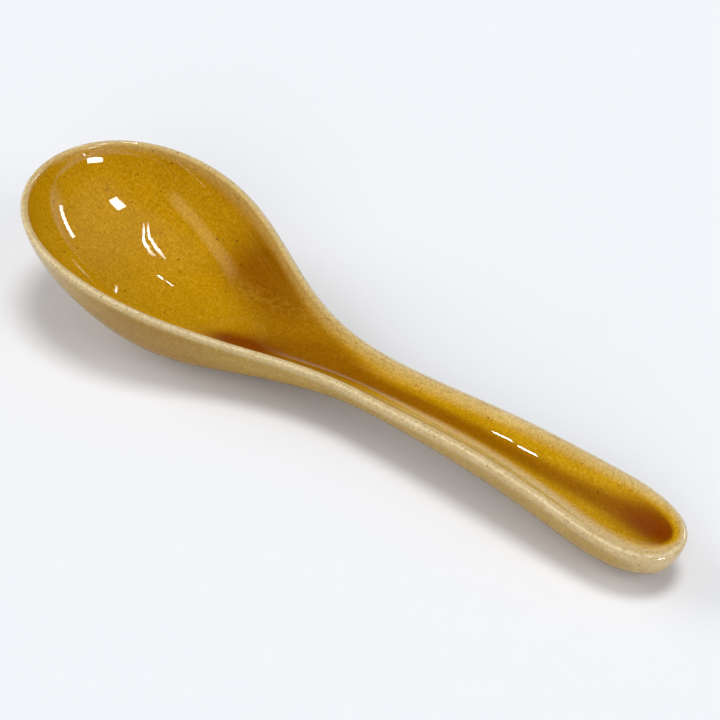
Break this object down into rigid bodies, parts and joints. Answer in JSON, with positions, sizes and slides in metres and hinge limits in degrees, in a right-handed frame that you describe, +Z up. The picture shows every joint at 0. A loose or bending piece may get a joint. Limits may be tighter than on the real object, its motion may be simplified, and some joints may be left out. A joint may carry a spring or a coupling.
{
  "type": "chinese soup spoon",
  "caption": "Long glazed stoneware soup spoon: deep oval bowl, narrow neck and channelled handle with a round end, on a low dry foot.",
  "frame": {"origin": "centre of the foot's flat face, where the bowl stands on the table", "axes": "+X along the spoon from the bowl towards the handle's end, +Z up out of the bowl, Y across it; the XZ plane is the spoon's plane of symmetry"},
  "size_m": [0.165, 0.0476, 0.0272],
  "materials": {
    "stoneware": "fired speckled stoneware clay under the glaze",
    "dry_foot": "bare fired clay, matt and slightly rough",
    "amber_glaze": "glossy translucent amber glaze, dark brown where it gathered",
    "cream_glaze": "glossy thin cream to olive-tan glaze with fine brown specks"
  },
  "bodies": {
    "root": {"bowl_body": "stoneware", "handle_body": "stoneware", "foot": "dry_foot", "liner_glaze": "amber_glaze", "outer_glaze": "cream_glaze"}
  },
  "joints": []
}
